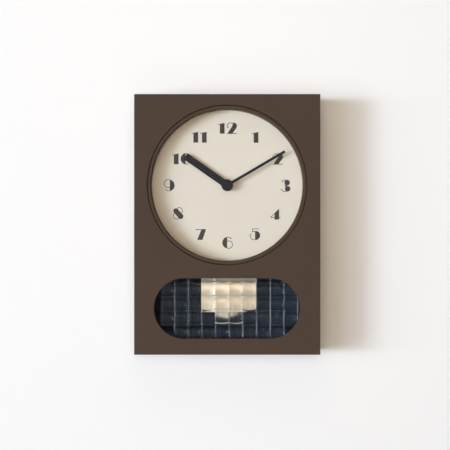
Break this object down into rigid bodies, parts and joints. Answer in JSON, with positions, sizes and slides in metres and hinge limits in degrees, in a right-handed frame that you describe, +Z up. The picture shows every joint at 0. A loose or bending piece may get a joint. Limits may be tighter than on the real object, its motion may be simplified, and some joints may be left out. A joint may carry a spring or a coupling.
{
  "type": "pendulum clock",
  "caption": "Brown boxed wall clock with a round recessed dial, square-ended hands, and a short pendulum that swings behind a reeded glass window.",
  "frame": {"origin": "centre of the round entry hole of the hanger plate, on the plane of the wall", "axes": "+Z up, +Y into the wall, so the dial faces -Y, and +X to the right of one who reads the dial"},
  "size_m": [0.25, 0.065, 0.35],
  "materials": {
    "case_paint": "smooth matt brown paint",
    "bezel_paint": "smooth matt brown paint",
    "dark_board": "stained fibreboard",
    "dial_enamel": "matt cream enamel",
    "numeral_ink": "matt printed ink",
    "clear_glass": "clear and polished",
    "reeded_glass": "clear figured glass with crossed reeds",
    "hand_paint": "matt black-brown paint",
    "zinc_steel": "zinc plated",
    "black_plastic": "fine spark texture",
    "white_plastic": "moulded",
    "black_rubber": "matt",
    "brass_metal": "turned",
    "bob_brass": "satin spun brass",
    "enamelled_wire": "enamelled copper wire",
    "ferrite": "sintered magnet",
    "green_board": "solder mask",
    "battery_jacket": "plain printed jacket"
  },
  "bodies": {
    "case": {"front_panel": "case_paint", "side_left": "case_paint", "side_right": "case_paint", "top_board": "case_paint", "bottom_board": "case_paint", "back_battens": "dark_board", "hanger_rail": "dark_board", "back_panel": "dark_board", "back_screws": "zinc_steel", "hanger_plate": "zinc_steel", "hanger_screws": "zinc_steel", "bezel_ring": "bezel_paint", "bezel_screws": "zinc_steel", "lens_glass": "clear_glass", "spacer_ring": "bezel_paint", "dial_plate": "dial_enamel", "dial_screws": "zinc_steel", "numerals": "numeral_ink", "window_glass": "reeded_glass", "glass_clips": "zinc_steel", "clip_screws": "zinc_steel", "housing_front": "black_plastic", "housing_rear": "black_plastic", "housing_screws": "zinc_steel", "dial_gasket": "black_rubber", "fixing_washer": "brass_metal", "fixing_nut": "brass_metal", "train_bridge": "white_plastic", "bridge_screws": "zinc_steel", "stator_plate": "zinc_steel", "coil_bobbin": "white_plastic", "motor_coil": "enamelled_wire", "stator_screws": "zinc_steel", "circuit_board": "green_board", "clock_chip": "black_plastic", "quartz_crystal": "zinc_steel", "battery": "battery_jacket", "contact_plus": "zinc_steel", "contact_minus": "zinc_steel", "drive_coil": "enamelled_wire", "lever_pin": "zinc_steel", "pin_clip": "zinc_steel"},
    "hands_minute": {"minute_arbor": "brass_metal", "centre_wheel": "white_plastic", "minute_hand": "hand_paint", "hand_cap": "hand_paint"},
    "hands_hour": {"hour_wheel": "white_plastic", "hour_hand": "hand_paint"},
    "motion_wheel": {"minute_wheel": "white_plastic"},
    "setting": {"setting_arbor": "white_plastic", "setting_knob": "black_plastic"},
    "train_third": {"third_wheel": "white_plastic"},
    "train_fourth": {"fourth_wheel": "white_plastic"},
    "train_fifth": {"fifth_wheel": "white_plastic"},
    "motor_rotor": {"rotor": "ferrite"},
    "pendulum": {"pendulum_lever": "white_plastic", "lever_magnet": "ferrite", "pendulum_rod": "brass_metal", "bob": "bob_brass", "bob_back": "white_plastic"}
  },
  "joints": [
    {"name": "minute_turn", "type": "hinge", "parent": "case", "child": "hands_minute", "pos_m": [0, -0.045, -0.097], "axis": [0, 1, 0], "continuous": true},
    {"name": "hour_turn", "type": "hinge", "parent": "case", "child": "hands_hour", "pos_m": [0, -0.045, -0.097], "axis": [0, 1, 0], "continuous": true},
    {"name": "motion_wheel_turn", "type": "hinge", "parent": "case", "child": "motion_wheel", "pos_m": [-0.00866, -0.036, -0.102], "axis": [0, 1, 0], "continuous": true},
    {"name": "setting_turn", "type": "hinge", "parent": "case", "child": "setting", "pos_m": [-0.01366, -0.022, -0.11066], "axis": [0, 1, 0], "continuous": true},
    {"name": "third_turn", "type": "hinge", "parent": "case", "child": "train_third", "pos_m": [0.01015, -0.032, -0.10069], "axis": [0, 1, 0], "continuous": true},
    {"name": "fourth_turn", "type": "hinge", "parent": "case", "child": "train_fourth", "pos_m": [0.01525, -0.036, -0.09186], "axis": [0, 1, 0], "continuous": true},
    {"name": "fifth_turn", "type": "hinge", "parent": "case", "child": "train_fifth", "pos_m": [0.01525, -0.034, -0.08466], "axis": [0, 1, 0], "continuous": true},
    {"name": "rotor_turn", "type": "hinge", "parent": "case", "child": "motor_rotor", "pos_m": [0.00835, -0.037, -0.08344], "axis": [0, 1, 0], "continuous": true},
    {"name": "pendulum_swing", "type": "hinge", "parent": "case", "child": "pendulum", "pos_m": [0, -0.027, -0.143], "axis": [0, 1, 0], "range_deg": [-8, 8]}
  ],
  "couplings": [
    {"joint": "hour_turn", "follows": "minute_turn", "ratio": 0.083333},
    {"joint": "motion_wheel_turn", "follows": "minute_turn", "ratio": -0.33333},
    {"joint": "setting_turn", "follows": "minute_turn", "ratio": 1},
    {"joint": "third_turn", "follows": "minute_turn", "ratio": -8},
    {"joint": "fourth_turn", "follows": "minute_turn", "ratio": 60},
    {"joint": "fifth_turn", "follows": "minute_turn", "ratio": -300},
    {"joint": "rotor_turn", "follows": "minute_turn", "ratio": 1800}
  ]
}
